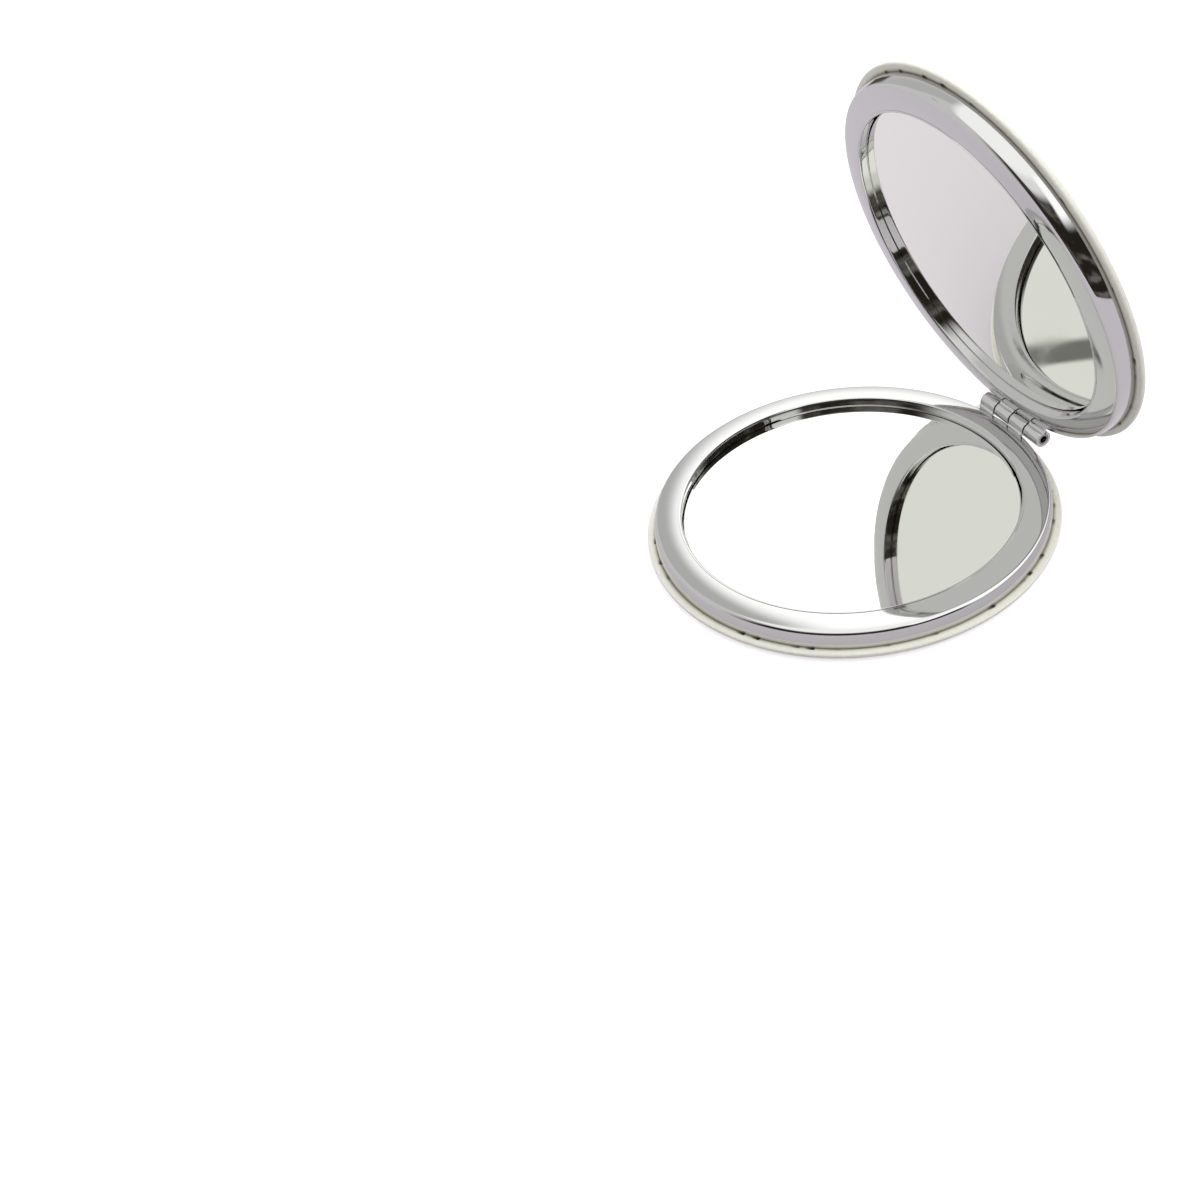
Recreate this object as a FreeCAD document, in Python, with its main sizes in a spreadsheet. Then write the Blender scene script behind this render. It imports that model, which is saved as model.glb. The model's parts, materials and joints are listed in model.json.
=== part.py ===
"""A round folding compact mirror: two like halves on a rolled-knuckle hinge, shown part-way open.

Both halves are the same set of pieces. The lid's set is turned half a turn about the front-to-back
axis, so that its knuckles fill the gaps between the base's, and then swung open about the hinge.
Heights of a half are measured from the flat of its padded cover towards the mirror.
"""
import FreeCAD, Part
import math
import os
import Sketcher
from FreeCAD import Vector

# Driving sizes in millimetres and degrees; values whose names end in share are plain ratios
SIZES = (
    ("cover_radius", "35.0"),
    ("cover_border", "11.0"),
    ("rim_height_share", "0.8"),
    ("rim_arc_share", "0.75"),
    ("leather_thickness", "0.5"),
    ("turn_in_thickness", "0.25"),
    ("turn_in_width", "4.6"),
    ("foam_thickness", "0.35"),
    ("foam_inset", "2.4"),
    ("glue_line", "0.05"),
    ("board_thickness", "0.4"),
    ("board_inset", "1.1"),
    ("cover_tape_thickness", "0.2"),
    ("cover_tape_inset", "1.6"),
    ("sheet_thickness", "0.5"),
    ("skirt_inset", "1.8"),
    ("skirt_taper", "0.4"),
    ("skirt_bulge", "0.15"),
    ("flange_width", "4.6"),
    ("flange_land", "0.9"),
    ("flange_drop", "0.4"),
    ("lip_fillet", "0.4"),
    ("edge_fillet", "0.8"),
    ("floor_fillet", "0.3"),
    ("mirror_tape_thickness", "0.15"),
    ("mirror_tape_inset", "1.2"),
    ("glass_thickness", "1.2"),
    ("glass_clearance", "0.12"),
    ("glass_bevel", "0.2"),
    ("glass_recess", "1.6"),
    ("seam_gap", "0.2"),
    ("barrel_radius", "1.46"),
    ("axis_inset", "0.38"),
    ("knuckle_pitch", "4.0"),
    ("knuckle_gap", "0.3"),
    ("throat_angle", "205"),
    ("roll_end_angle", "219"),
    ("pin_clearance", "0.05"),
    ("pin_wall", "0.21"),
    ("pin_recess", "0.2"),
    ("pin_chamfer", "0.08"),
    ("open_angle", "75"),
)

# Sizes that follow from the driving ones
DERIVED = (
    ("foam_top", "leather_thickness + foam_thickness"),
    ("board_top", "foam_top + board_thickness"),
    ("turn_in_top", "board_top + turn_in_thickness"),
    ("turn_in_radius", "cover_radius - turn_in_width"),
    ("rim_height", "turn_in_top * rim_height_share"),
    ("rim_arc", "rim_height * rim_arc_share"),
    ("rim_centre", "cover_radius - rim_arc"),
    ("tuck_arc", "turn_in_top - rim_height"),
    ("cover_flat", "cover_radius - cover_border"),
    ("crown_run", "rim_centre - cover_flat"),
    ("crown_rise", "rim_height - rim_arc"),
    ("crown_arc", "(crown_run ^ 2 + rim_height ^ 2 - rim_arc ^ 2) / (2 * crown_rise)"),
    ("crown_sine", "crown_run / (crown_arc - rim_arc)"),
    ("crown_cosine", "(crown_arc - rim_height) / (crown_arc - rim_arc)"),
    ("lining_arc", "crown_arc - leather_thickness"),
    ("foam_arc", "lining_arc - glue_line"),
    ("foam_radius", "cover_radius - foam_inset"),
    ("foam_edge", "crown_arc - sqrt(foam_arc ^ 2 - (foam_radius - cover_flat) ^ 2)"),
    ("board_radius", "cover_radius - board_inset"),
    ("pan_bottom", "board_top + cover_tape_thickness"),
    ("pan_floor", "pan_bottom + sheet_thickness"),
    ("skirt_radius", "cover_radius - skirt_inset"),
    ("skirt_inside", "skirt_radius - sheet_thickness"),
    ("well_radius", "skirt_radius - flange_width"),
    ("well_outside", "well_radius + sheet_thickness"),
    ("cover_tape_radius", "well_radius - cover_tape_inset"),
    ("mirror_tape_radius", "well_radius - mirror_tape_inset"),
    ("glass_bottom", "pan_floor + mirror_tape_thickness"),
    ("glass_top", "glass_bottom + glass_thickness"),
    ("glass_radius", "well_radius - glass_clearance"),
    ("crest", "glass_top + glass_recess"),
    ("crest_radius", "well_radius + flange_land"),
    ("edge_height", "crest - flange_drop"),
    ("flange_run", "skirt_radius - crest_radius"),
    ("flange_arc", "(flange_run ^ 2 + flange_drop ^ 2) / (2 * flange_drop)"),
    ("ceiling_arc", "flange_arc - sheet_thickness"),
    ("ceiling_edge", "crest - flange_arc + sqrt(ceiling_arc ^ 2 - (skirt_inside - crest_radius) ^ 2)"),
    ("ceiling_height", "crest - sheet_thickness"),
    ("skirt_foot", "skirt_radius + skirt_taper"),
    ("skirt_rise", "edge_height - turn_in_top"),
    ("skirt_slant", "sqrt(skirt_rise ^ 2 + skirt_taper ^ 2)"),
    ("skirt_arc", "(skirt_slant ^ 2 / 4 + skirt_bulge ^ 2) / (2 * skirt_bulge)"),
    ("skirt_depth", "skirt_arc - skirt_bulge"),
    ("skirt_centre", "skirt_radius + skirt_taper / 2 - skirt_depth * skirt_rise / skirt_slant"),
    ("skirt_middle", "turn_in_top + skirt_rise / 2 - skirt_depth * skirt_taper / skirt_slant"),
    ("seam_height", "crest + seam_gap / 2"),
    ("axis_radius", "cover_radius - axis_inset"),
    ("bore_radius", "barrel_radius - sheet_thickness"),
    ("barrel_half", "2 * knuckle_pitch"),
    ("strap_root", "sqrt((skirt_radius - sheet_thickness / 2) ^ 2 - barrel_half ^ 2)"),
    ("strap_bottom", "edge_height - sheet_thickness"),
    ("strap_bend", "seam_height - edge_height"),
    ("barrel_inner", "axis_radius - barrel_radius"),
    ("bend_start", "barrel_inner - strap_bend"),
    ("throat_cosine", "cos(throat_angle * 1 deg)"),
    ("throat_sine", "sin(throat_angle * 1 deg)"),
    ("knuckle_width", "knuckle_pitch - knuckle_gap"),
    ("knuckle_start", "knuckle_gap / 2 - barrel_half"),
    ("knuckle_step", "2 * knuckle_pitch"),
    ("roll_cosine", "cos(roll_end_angle * 1 deg)"),
    ("roll_sine", "sin(roll_end_angle * 1 deg)"),
    ("pin_radius", "bore_radius - pin_clearance"),
    ("pin_bore", "pin_radius - pin_wall"),
    ("pin_half", "barrel_half - pin_recess"),
)

NAMES = [name for name, text in SIZES + DERIVED]

doc = FreeCAD.newDocument("compact_mirror")


def fill_sheet():
    """Put the driving sizes and then the ones that follow into one sheet, each under its own name."""
    sheet = doc.addObject("Spreadsheet::Sheet", "Sizes")
    rows = [(name, text) for name, text in SIZES] + [(name, "=" + text) for name, text in DERIVED]
    for row, (name, text) in enumerate(rows, start=1):
        sheet.set("A%d" % row, name)
        sheet.set("B%d" % row, text)
        sheet.setAlias("B%d" % row, name)
        doc.recompute()
    return sheet


sheet = fill_sheet()


def bound(text):
    """Turn a sum of sheet names into an expression that a feature can be bound to."""
    words = text.replace("(", " ( ").replace(")", " ) ").split()
    return " ".join("Sizes." + word if word in NAMES else word for word in words)


def size(text):
    """The present value of a sum of sheet names."""
    return float(sheet.evalExpression(bound(text)))


def origin_plane(body, role):
    return [feature for feature in body.Origin.OriginFeatures if feature.Role == role][0]


def new_body(name, side):
    """An empty body; the lid's bodies are turned over about the seam and swung open on the hinge."""
    body = doc.addObject("PartDesign::Body", side + name)
    body.Label = side + name
    if side == "lid_":
        turned = "placement(vector(0; 0; 2 * Sizes.seam_height); rotation(vector(0; 1; 0); 180))"
        swing = "rotation(vector(1; 0; 0); -Sizes.open_angle)"
        hinge = "vector(0; Sizes.axis_radius; Sizes.seam_height)"
        body.setExpression("Placement", "placement(vector(0; 0; 0); %s; %s) * %s" % (swing, hinge, turned))
    return body


def arc_between(start, end, centre, turn):
    """The arc from start to end about centre, turning left when turn is positive."""
    first, last = (start, end) if turn > 0 else (end, start)
    angles = [math.atan2(place.y - centre.y, place.x - centre.x) for place in (first, last)]
    circle = Part.Circle(centre, Vector(0, 0, 1), start.distanceToPoint(centre))
    return Part.ArcOfCircle(circle, *angles)


def outline(body, name, role, points, arcs):
    """A closed sketch: each corner is bound to its two sums, each arc also to its radius.

    arcs maps the number of a corner to (radius, centre across, centre up, turn) for the arc after it.
    """
    sketch = body.newObject("Sketcher::SketchObject", name)
    sketch.AttachmentSupport = [(origin_plane(body, role), "")]
    sketch.MapMode = "FlatFace"
    corners = [Vector(size(across), size(up), 0) for across, up in points]
    for number, corner in enumerate(corners):
        after = corners[(number + 1) % len(corners)]
        if number in arcs:
            radius, across, up, turn = arcs[number]
            curve = arc_between(corner, after, Vector(size(across), size(up), 0), turn)
        else:
            curve = Part.LineSegment(corner, after)
        sketch.addGeometry(curve, False)
    tie_outline(sketch, points, corners, arcs)
    return sketch


def curve_end(sketch, number, corner):
    """Which end of a curve lies at a corner, as the sketch numbers it."""
    return min((1, 2), key=lambda end: sketch.getPoint(number, end).distanceToPoint(corner))


def tie_outline(sketch, points, corners, arcs):
    """Join the curves of an outline and bind its corners and radii to the sheet."""
    for number, corner in enumerate(corners):
        before = (number - 1) % len(corners)
        end = curve_end(sketch, number, corner)
        sketch.addConstraint(Sketcher.Constraint("Coincident", before, curve_end(sketch, before, corner),
                                                 number, end))
        for kind, value, text in (("DistanceX", corner.x, points[number][0]),
                                  ("DistanceY", corner.y, points[number][1])):
            place = sketch.addConstraint(Sketcher.Constraint(kind, -1, 1, number, end, value))
            sketch.setExpression("Constraints[%d]" % place, bound(text))
    for number, (radius, across, up, turn) in arcs.items():
        place = sketch.addConstraint(Sketcher.Constraint("Radius", number, size(radius)))
        sketch.setExpression("Constraints[%d]" % place, bound(radius))


def revolved(body, name, points, arcs):
    """A full turn of an outline about the upright axis."""
    sketch = outline(body, name + "_outline", "XZ_Plane", points, arcs)
    turn = body.newObject("PartDesign::Revolution", name)
    turn.Profile = sketch
    turn.ReferenceAxis = (sketch, ["V_Axis"])
    turn.Angle = 360
    sketch.Visibility = False
    doc.recompute()
    return turn


def disc(name, side, radius, bottom, thickness):
    """A plain round disc lying at a height."""
    body = new_body(name, side)
    sketch = body.newObject("Sketcher::SketchObject", side + name + "_circle")
    sketch.AttachmentSupport = [(origin_plane(body, "XY_Plane"), "")]
    sketch.MapMode = "FlatFace"
    sketch.setExpression("AttachmentOffset.Base.z", bound(bottom))
    sketch.addGeometry(Part.Circle(Vector(0, 0, 0), Vector(0, 0, 1), size(radius)), False)
    sketch.addConstraint(Sketcher.Constraint("Coincident", 0, 3, -1, 1))
    place = sketch.addConstraint(Sketcher.Constraint("Radius", 0, size(radius)))
    sketch.setExpression("Constraints[%d]" % place, bound(radius))
    pad = body.newObject("PartDesign::Pad", side + name + "_pad")
    pad.Profile = sketch
    pad.setExpression("Length", bound(thickness))
    doc.recompute()
    return body, pad


def ring_edges(feature, radius, height):
    """Names of the round edges of a feature that have a radius and lie at a height."""
    names = []
    for number, edge in enumerate(feature.Shape.Edges, start=1):
        if isinstance(edge.Curve, Part.Circle):
            same_radius = math.isclose(edge.Curve.Radius, size(radius), rel_tol=1e-6)
            if same_radius and math.isclose(edge.Curve.Center.z, size(height), rel_tol=1e-6):
                names.append("Edge%d" % number)
    return names


def rounded(body, kind, name, feature, radius, height, amount):
    """Round or bevel the circular edge of a feature at a radius and a height."""
    dress = body.newObject("PartDesign::" + kind, name)
    dress.Base = (feature, ring_edges(feature, radius, height))
    dress.setExpression("Size" if kind == "Chamfer" else "Radius", bound(amount))
    doc.recompute()
    return dress


def leather_cover(side):
    """The leather skin: flat middle, soft crown, rounded rim, and a thinned hem turned in on the board."""
    body = new_body("leather_cover", side)
    points = (
        ("0", "0"),
        ("cover_flat", "0"),
        ("cover_flat + crown_arc * crown_sine", "crown_arc - crown_arc * crown_cosine"),
        ("cover_radius", "rim_height"),
        ("cover_radius - tuck_arc", "turn_in_top"),
        ("turn_in_radius", "turn_in_top"),
        ("turn_in_radius", "board_top"),
        ("cover_radius - leather_thickness", "board_top"),
        ("cover_radius - leather_thickness", "rim_height"),
        ("cover_flat + lining_arc * crown_sine", "crown_arc - lining_arc * crown_cosine"),
        ("cover_flat", "leather_thickness"),
        ("0", "leather_thickness"),
    )
    arcs = {
        1: ("crown_arc", "cover_flat", "crown_arc", 1),
        2: ("rim_arc", "rim_centre", "rim_height", 1),
        3: ("tuck_arc", "cover_radius - tuck_arc", "rim_height", 1),
        8: ("rim_arc - leather_thickness", "rim_centre", "rim_height", -1),
        9: ("lining_arc", "cover_flat", "crown_arc", -1),
    }
    revolved(body, side + "skin", points, arcs)
    return body


def foam_pad(side):
    """The thin foam under the skin, feathered towards its edge."""
    body = new_body("foam_pad", side)
    points = (
        ("0", "leather_thickness + glue_line"),
        ("cover_flat", "leather_thickness + glue_line"),
        ("foam_radius", "foam_edge"),
        ("foam_radius", "foam_top"),
        ("0", "foam_top"),
    )
    revolved(body, side + "foam", points, {1: ("foam_arc", "cover_flat", "crown_arc", 1)})
    return body


def pressed_frame(body, side):
    """The pressed sheet: mirror well, lip, crowned flange and flared skirt, with its bends rounded."""
    points = (
        ("0", "pan_bottom"),
        ("well_outside", "pan_bottom"),
        ("well_outside", "ceiling_height"),
        ("crest_radius", "ceiling_height"),
        ("skirt_inside", "ceiling_edge"),
        ("skirt_foot - sheet_thickness", "turn_in_top"),
        ("skirt_foot", "turn_in_top"),
        ("skirt_radius", "edge_height"),
        ("crest_radius", "crest"),
        ("well_radius", "crest"),
        ("well_radius", "pan_floor"),
        ("0", "pan_floor"),
    )
    arcs = {
        3: ("ceiling_arc", "crest_radius", "crest - flange_arc", -1),
        6: ("skirt_arc", "skirt_centre", "skirt_middle", 1),
        7: ("flange_arc", "crest_radius", "crest - flange_arc", 1),
    }
    pan = revolved(body, side + "pan", points, arcs)
    lip = rounded(body, "Fillet", side + "lip", pan, "well_radius", "crest", "lip_fillet")
    edge = rounded(body, "Fillet", side + "edge", lip, "skirt_radius", "edge_height", "edge_fillet")
    inner = rounded(body, "Fillet", side + "corner", edge, "well_radius", "pan_floor", "floor_fillet")
    heel = "floor_fillet + sheet_thickness"
    return rounded(body, "Fillet", side + "heel", inner, "well_outside", "pan_bottom", heel)


def rolled_knuckles(body, side):
    """Two straps that leave the flange's edge, bend up and roll over the pin to end underneath it."""
    points = (
        ("bend_start", "edge_height"),
        ("barrel_inner", "seam_height"),
        ("axis_radius + barrel_radius * roll_cosine", "seam_height + barrel_radius * roll_sine"),
        ("axis_radius + bore_radius * roll_cosine", "seam_height + bore_radius * roll_sine"),
        ("axis_radius + bore_radius * throat_cosine", "seam_height + bore_radius * throat_sine"),
        ("barrel_inner", "strap_bottom"),
        ("strap_root", "strap_bottom"),
        ("strap_root", "edge_height"),
    )
    arcs = {
        0: ("strap_bend", "bend_start", "seam_height", 1),
        1: ("barrel_radius", "axis_radius", "seam_height", -1),
        3: ("bore_radius", "axis_radius", "seam_height", 1),
    }
    sketch = outline(body, side + "roll_outline", "YZ_Plane", points, arcs)
    sketch.setExpression("AttachmentOffset.Base.z", bound("knuckle_start"))
    roll = body.newObject("PartDesign::Pad", side + "roll")
    roll.Profile = sketch
    roll.setExpression("Length", bound("knuckle_width"))
    doc.recompute()
    body.Tip = roll
    row = body.newObject("PartDesign::LinearPattern", side + "rolls")
    row.Originals = [roll]
    row.Direction = (sketch, ["N_Axis"])
    row.Mode = "Extent"
    row.Occurrences = 2
    row.setExpression("Length", bound("knuckle_step"))
    body.Tip = row
    doc.recompute()


def frame(side):
    """The chromed frame of one half, with its two hinge knuckles in the same sheet."""
    body = new_body("frame", side)
    pressed_frame(body, side)
    rolled_knuckles(body, side)
    return body


def mirror(side):
    """The mirror glass with a ground bevel round its front."""
    body, pad = disc("mirror", side, "glass_radius", "glass_bottom", "glass_thickness")
    rounded(body, "Chamfer", side + "bevel", pad, "glass_radius", "glass_top", "glass_bevel")
    return body


def hinge_pin():
    """The tubular pin through all four knuckles, all but flush with the barrel, with bevelled ends."""
    body = new_body("hinge_pin", "")
    points = (
        ("pin_bore", "0 - pin_half"),
        ("pin_radius - pin_chamfer", "0 - pin_half"),
        ("pin_radius", "pin_chamfer - pin_half"),
        ("pin_radius", "pin_half - pin_chamfer"),
        ("pin_radius - pin_chamfer", "pin_half"),
        ("pin_bore", "pin_half"),
    )
    revolved(body, "pin", points, {})
    place = "vector(0; Sizes.axis_radius; Sizes.seam_height)"
    body.setExpression("Placement", "placement(%s; rotation(vector(0; 1; 0); 90))" % place)
    return body


def one_half(side):
    """All pieces of the base or of the lid, from the cover inwards."""
    board = disc("cover_board", side, "board_radius", "foam_top", "board_thickness")
    cover_tape = disc("cover_tape", side, "cover_tape_radius", "board_top", "cover_tape_thickness")
    mirror_tape = disc("mirror_tape", side, "mirror_tape_radius", "pan_floor", "mirror_tape_thickness")
    return [leather_cover(side), foam_pad(side), board[0], cover_tape[0], frame(side), mirror_tape[0],
            mirror(side)]


def write_parts(bodies):
    """Stop on any failed feature or bad solid, and otherwise write one file per piece."""
    doc.recompute()
    for item in doc.Objects:
        if "Invalid" in item.State or "Error" in item.State:
            raise RuntimeError("failed feature: " + item.Name)
    os.makedirs("parts", exist_ok=True)
    for body in bodies:
        if body.Shape.isNull() or not body.Shape.isValid() or len(body.Shape.Solids) != 1:
            raise RuntimeError("bad solid: " + body.Label)
        body.Shape.exportStep("parts/%s.step" % body.Label)


write_parts(one_half("base_") + one_half("lid_") + [hinge_pin()])
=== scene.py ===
"""Looks of a round folding compact mirror: padded leather covers, chromed frames and mirror glass.

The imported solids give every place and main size. The covers and the frames are drawn again here as
dense turned meshes, so that the leather puckers along its hem and the chrome reflects without facets.
A half is drawn lying with its cover down and its mirror up, and the lid's is then carried to its
place on the hinge.
"""
import json
import math

import bmesh
import bpy
import numpy as np
from mathutils import Matrix, Vector

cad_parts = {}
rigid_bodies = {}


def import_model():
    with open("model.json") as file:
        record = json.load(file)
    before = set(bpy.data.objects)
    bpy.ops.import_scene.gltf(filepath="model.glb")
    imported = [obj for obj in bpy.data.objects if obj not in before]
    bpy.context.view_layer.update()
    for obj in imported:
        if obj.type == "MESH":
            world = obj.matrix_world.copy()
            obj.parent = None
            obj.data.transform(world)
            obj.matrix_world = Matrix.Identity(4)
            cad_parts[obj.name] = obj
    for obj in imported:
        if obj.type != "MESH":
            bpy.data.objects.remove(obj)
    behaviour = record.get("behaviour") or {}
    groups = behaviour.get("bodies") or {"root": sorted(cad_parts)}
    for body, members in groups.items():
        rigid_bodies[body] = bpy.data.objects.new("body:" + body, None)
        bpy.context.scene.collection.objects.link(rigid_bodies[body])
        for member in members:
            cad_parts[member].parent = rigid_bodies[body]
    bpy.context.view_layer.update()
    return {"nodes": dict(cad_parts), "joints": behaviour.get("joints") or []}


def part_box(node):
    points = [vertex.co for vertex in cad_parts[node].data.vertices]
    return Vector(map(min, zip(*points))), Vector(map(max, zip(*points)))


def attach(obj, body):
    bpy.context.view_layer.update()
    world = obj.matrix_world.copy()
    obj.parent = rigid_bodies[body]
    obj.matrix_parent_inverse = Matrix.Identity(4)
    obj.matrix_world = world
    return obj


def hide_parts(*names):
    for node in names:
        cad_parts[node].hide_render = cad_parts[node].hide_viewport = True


bl_info = {
    "name": "Compact Mirror",
    "version": (1, 0, 0),
    "blender": (4, 5, 0),
    "location": "View3D > Sidebar > Compact",
    "description": "Builds the covers, frames, glass and hinge of a folding compact mirror",
    "category": "Object",
}


def clear_start_file():
    """Remove the objects that a new file starts with, so that only the part is in the scene."""
    for item in list(bpy.data.objects):
        bpy.data.objects.remove(item)


clear_start_file()
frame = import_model()

# One millimetre, in Blender's metres
MM = 0.001

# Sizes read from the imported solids
cover_low, cover_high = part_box("base_leather_cover")
board_low, board_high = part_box("base_cover_board")
pan_low, pan_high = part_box("base_frame")
hinge = frame["joints"][0]
COVER_RADIUS = cover_high.x
HEM_TOP = cover_high.z
BOARD_TOP = board_high.z
BOARD_RADIUS = board_high.x
PAN_BOTTOM = pan_low.z
AXIS = Vector(hinge["pos_m"])
OPEN_ANGLE = -math.radians(hinge["range_deg"][0])
BARREL_RADIUS = pan_high.y - AXIS.y

# Leather cover, as in the solids
COVER_BORDER = 11.0 * MM
RIM_HEIGHT_SHARE = 0.8
RIM_ARC_SHARE = 0.75
LEATHER = 0.5 * MM
TURN_IN = 4.6 * MM
RIM_HEIGHT = HEM_TOP * RIM_HEIGHT_SHARE
RIM_ARC = RIM_HEIGHT * RIM_ARC_SHARE
RIM_CENTRE = COVER_RADIUS - RIM_ARC
TUCK_ARC = HEM_TOP - RIM_HEIGHT
COVER_FLAT = COVER_RADIUS - COVER_BORDER

# Pleats: usual distance between two, depth, length of the tail, and how far they reach out from the skirt
PLEAT_SPACING = 5.5 * MM
PLEAT_DEPTH = 0.22 * MM
PLEAT_TAIL = 1.6 * MM
PLEAT_HEAD_SHARE = 0.2
PLEAT_REACH = 0.2 * MM
PLEAT_FADE = 0.25 * MM
PLEAT_SEEDS = {"base": 0.31, "lid": 0.77}

# Chance from which a cell carries a pleat and at which it is deepest, and fold depth at which the painted
# shade in a pleat is darkest
PLEAT_CHANCE_SHARES = (0.3, 0.9)
FULL_PLEAT_SHADE_SHARE = 0.9

# Steps round a cover, and along its section
COVER_TURNS = 1200
FACE_STEPS = 8
CROWN_STEPS = 8
RIM_STEPS = 9
TUCK_STEPS = 8
HEM_STEPS = 22
SEAT_STEPS = 2
LINING_STEPS = 3

# Width of the shading on the hem towards the skirt
HEM_SHADE_WIDTH = 0.7 * MM

# How far the padded face rises and sinks, and how fast that changes for each pleat spacing
UNEVENNESS = 0.04 * MM
SWELL_SHARE = 0.7
SWELL_EDGE_SHARE = 0.5

# Pressed frame, as in the solids
SHEET = 0.5 * MM
SKIRT_INSET = 1.8 * MM
SKIRT_TAPER = 0.4 * MM
SKIRT_BULGE = 0.15 * MM
FLANGE_WIDTH = 4.6 * MM
FLANGE_LAND = 0.9 * MM
FLANGE_DROP = 0.4 * MM
LIP_FILLET = 0.4 * MM
EDGE_FILLET = 0.8 * MM
FLOOR_FILLET = 0.3 * MM
SEAM_GAP = 0.2 * MM
PAN_FLOOR = PAN_BOTTOM + SHEET
SKIRT_RADIUS = COVER_RADIUS - SKIRT_INSET
SKIRT_INSIDE = SKIRT_RADIUS - SHEET
SKIRT_FOOT = SKIRT_RADIUS + SKIRT_TAPER
WELL_RADIUS = SKIRT_RADIUS - FLANGE_WIDTH
WELL_OUTSIDE = WELL_RADIUS + SHEET
CREST = AXIS.z - SEAM_GAP / 2
CREST_RADIUS = WELL_RADIUS + FLANGE_LAND
EDGE_HEIGHT = CREST - FLANGE_DROP
FLANGE_RUN = SKIRT_RADIUS - CREST_RADIUS
FLANGE_ARC = (FLANGE_RUN ** 2 + FLANGE_DROP ** 2) / (2 * FLANGE_DROP)
FLANGE_CENTRE = Vector((CREST_RADIUS, CREST - FLANGE_ARC))

# Steps round a frame, and along its section
FRAME_TURNS = 512
SKIRT_STEPS = 14
FILLET_STEPS = 14
FLANGE_STEPS = 20
LAND_STEPS = 4
LIP_STEPS = 2
WALL_STEPS = 8
CORNER_STEPS = 5
CEILING_STEPS = 4

# Fine step coined into the lip: its height, how far it leans, and its place past the lip's fillet
LIP_STEP = 0.09 * MM
LIP_LEAN = 0.02 * MM
LIP_LAND = 0.1 * MM

# Hinge knuckles, as in the solids
KNUCKLES_EACH = 2
KNUCKLE_PITCH = 4.0 * MM
KNUCKLE_GAP = 0.3 * MM
THROAT = 205
ROLL_END = 219
ROLL_STEPS = 72
BEND_STEPS = 12
STRAP_STEPS = 2
BORE_RADIUS = BARREL_RADIUS - SHEET
BARREL_HALF = KNUCKLES_EACH * KNUCKLE_PITCH
EDGE_BREAK = 0.06 * MM
EDGE_BREAK_STEPS = 2

# Meshes: closest two points may lie, and the angle in degrees at which two faces make an edge
CLOSEST = 0.005 * MM
EDGE_ANGLE = 35

# Leather pattern: distance between two creases of the grain, their height and length, and how they stray
GRAIN_SIZE = 0.36 * MM
GRAIN_HEIGHT_SHARE = 0.12
GRAIN_STRETCH_SHARES = Vector((0.32, 1.0, 1.0))
GRAIN_STRAY_SHARE = 0.8
GRAIN_CHANGE_SHARE = 0.5

# Leather surface: where a grain's crown starts to fall and ends, roundness of the grains, strength of
# their relief, shade of the creases, roughness in the creases and on the crowns, refraction
GRAIN_CROWN_SHARES = (0.25, 0.75)
GRAIN_ROUND_SHARE = 0.6
GRAIN_RELIEF_SHARE = 0.6
CREASE_SHADE_SHARE = 0.95
LEATHER_ROUGHNESS_SHARES = (0.6, 0.48)
LEATHER_REFRACTION = 1.46

# Chrome pattern: length and height of the draw waves, width of the hazy patches, where a patch starts
# and is full, and roughness outside and inside one
DRAW_WAVE = 5.0 * MM
DRAW_HEIGHT = 0.005 * MM
HAZE_SIZE = 2.5 * MM
HAZE_SHARES = (0.35, 0.75)
CHROME_ROUGHNESS_SHARES = (0.035, 0.09)

# Mirror pattern: width of a smear, where it starts and is full, and roughness outside and inside one
SMEAR_SIZE = 9.0 * MM
SMEAR_SHARES = (0.45, 0.8)
GLASS_ROUGHNESS_SHARES = (0.012, 0.05)

# Pin pattern: width of a drawing mark, and least and most roughness
PIN_GRAIN = 0.3 * MM
PIN_ROUGHNESS_SHARES = (0.25, 0.45)

# Hidden sheets: size of their specks, and strength of the specks' relief
FOAM_PORE = 0.3 * MM
BOARD_FIBRE = 0.5 * MM
FILM_MOTTLE = 1.0 * MM
SPECK_RELIEF_SHARE = 0.3

# Camera: distance from the middle of the base, place on the floor that it looks at, angles in degrees
CAMERA_DISTANCE = 275.35 * MM
CAMERA_AZIMUTH = 59.4
CAMERA_ELEVATION = 39.43
CAMERA_ROLL = -12.65
CAMERA_LENS = 47.3
SENSOR = 36.0
AIM = Vector((-8.18, -44.79, 0)) * MM

# Floor: its radius in metres, its sides, how far it lies under the part, and light that is added to it
# for the eye and in reflections
FLOOR_RADIUS = 0.45
FLOOR_SIDES = 64
FLOOR_DROP = 0.02 * MM
FLOOR_LIFT = 0.6
FLOOR_GLOSS_LIFT = 0.2

# Studio: level of its dark side and of the pale things there, how finely these are strewn, where one
# starts and is full, tint of the dark, and how fast the tint goes as the level rises
DARK_LEVEL = 0.035
PALE_LEVEL = 0.2
DARK_PATTERN = Vector((2.0, 2.0, 9.0))
PALE_SHARES = (0.5, 0.65)
DARK_TINT = "#D2C3A6"
TINT_LOSS = 4.0
WHITE = "#FFFFFF"

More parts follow.
